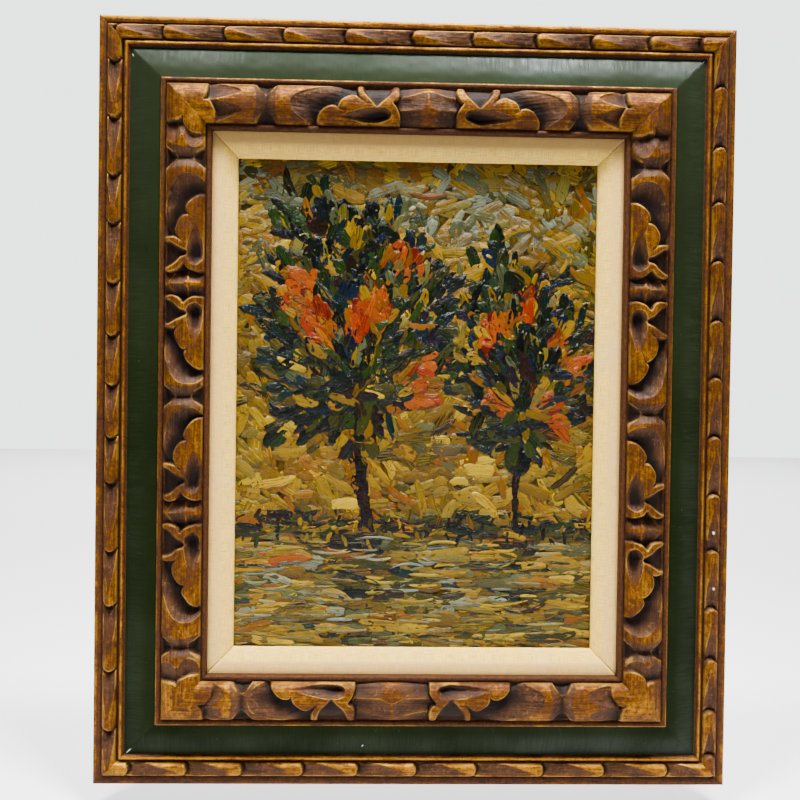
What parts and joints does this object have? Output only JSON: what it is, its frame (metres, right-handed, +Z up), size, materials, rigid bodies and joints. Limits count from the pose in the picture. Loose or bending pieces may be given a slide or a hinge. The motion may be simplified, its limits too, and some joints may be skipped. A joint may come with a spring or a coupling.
{
  "type": "framed oil painting",
  "caption": "Thickly painted oil picture in a linen liner and a wide mitred wood frame with a carved gilt band, a green slope and a rope edge.",
  "frame": {"origin": "on the flat back of the top rail at the middle of its length, where the frame hangs against the wall", "axes": "+Z up, +Y into the wall, +X to the right of someone looking at the picture; the picture faces -Y"},
  "size_m": [0.516, 0.039, 0.62],
  "materials": {
    "carved_gilt_wood": "worn gilding over red-brown ground in the carving, dark green satin paint on the slope",
    "linen_liner": "natural woven linen glued over wood",
    "oil_paint": "thick glossy oil paint laid on with a knife"
  },
  "bodies": {
    "root": {"frame_rail_top": "carved_gilt_wood", "frame_rail_left": "carved_gilt_wood", "frame_rail_bottom": "carved_gilt_wood", "frame_rail_right": "carved_gilt_wood", "liner_rail_top": "linen_liner", "liner_rail_left": "linen_liner", "liner_rail_bottom": "linen_liner", "liner_rail_right": "linen_liner", "painting": "oil_paint"}
  },
  "joints": []
}
